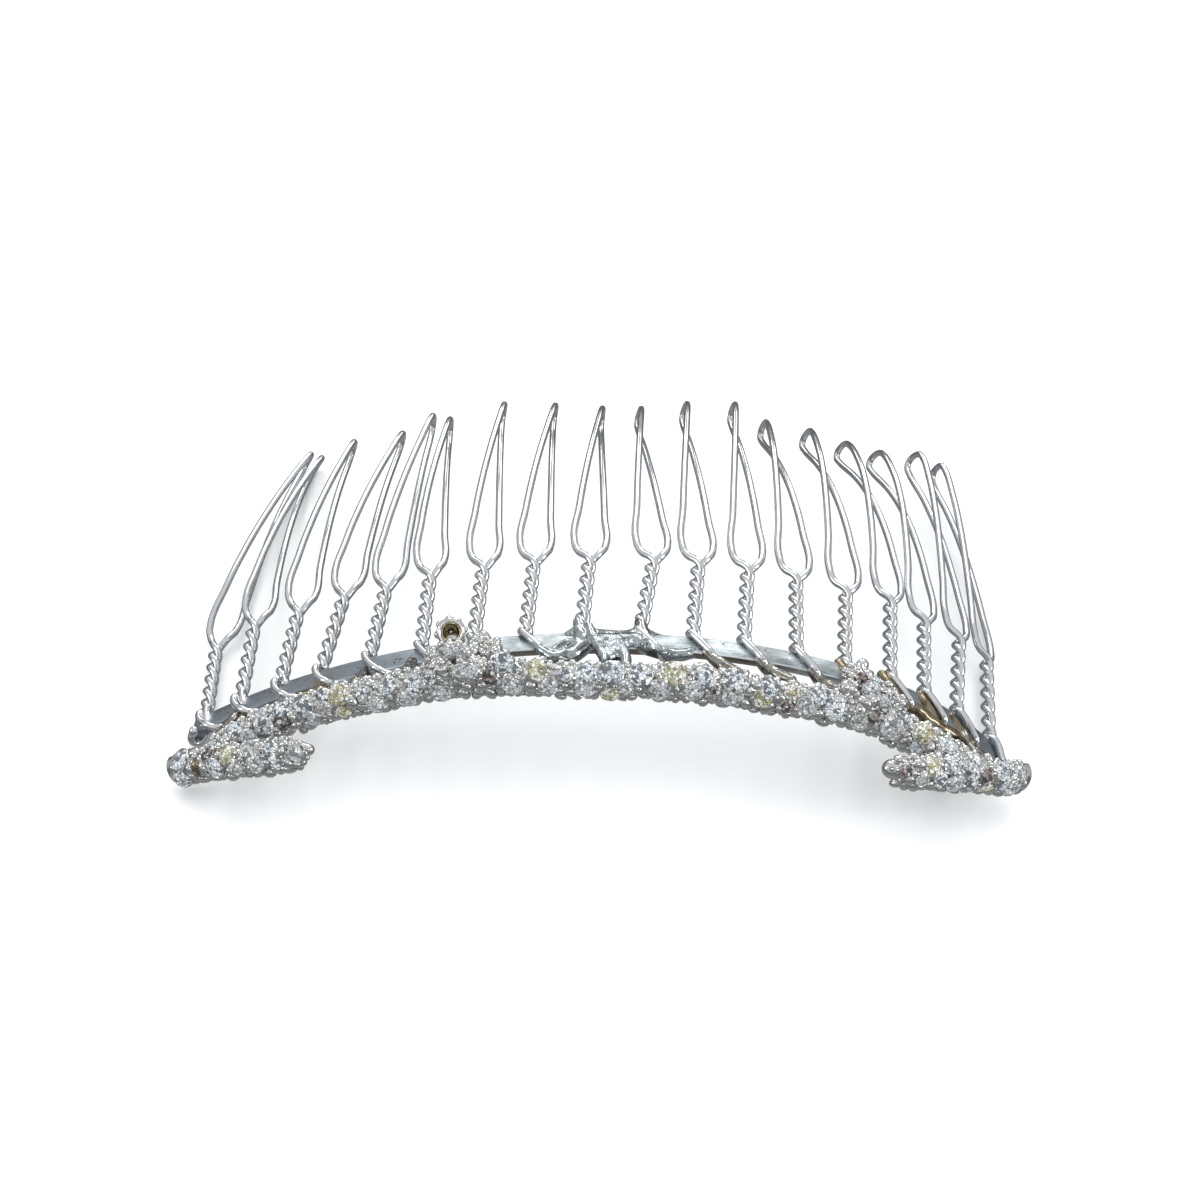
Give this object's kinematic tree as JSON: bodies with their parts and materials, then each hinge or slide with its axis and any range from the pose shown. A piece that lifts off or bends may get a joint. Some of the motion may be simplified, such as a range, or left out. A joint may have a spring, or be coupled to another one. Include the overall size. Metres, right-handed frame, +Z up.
{
  "type": "mantilla comb",
  "caption": "Arched hair comb with looped teeth of twisted wire wound on a flat bar and a stone-set band soldered along its back.",
  "frame": {"origin": "middle of the footprint, on the surface that the comb lies on, hollow side down", "axes": "+X along the bar towards its right end as seen from the front; +Y from the stone-set band towards the tips of the teeth; +Z up, out of the arch's convex side"},
  "size_m": [0.0714, 0.0476, 0.015],
  "materials": {
    "paved_silver": "polished silver-coloured metal, paved with small clear stones, with bright rough solder",
    "silver_wire": "polished silver-coloured wire, lightly tarnished in its creases"
  },
  "bodies": {
    "root": {"soldered_heading": "paved_silver", "tooth_01": "silver_wire", "tooth_02": "silver_wire", "tooth_03": "silver_wire", "tooth_04": "silver_wire", "tooth_05": "silver_wire", "tooth_06": "silver_wire", "tooth_07": "silver_wire", "tooth_08": "silver_wire", "tooth_09": "silver_wire", "tooth_10": "silver_wire", "tooth_11": "silver_wire", "tooth_12": "silver_wire", "tooth_13": "silver_wire", "tooth_14": "silver_wire", "tooth_15": "silver_wire", "tooth_16": "silver_wire", "tooth_17": "silver_wire", "tooth_18": "silver_wire"}
  },
  "joints": []
}
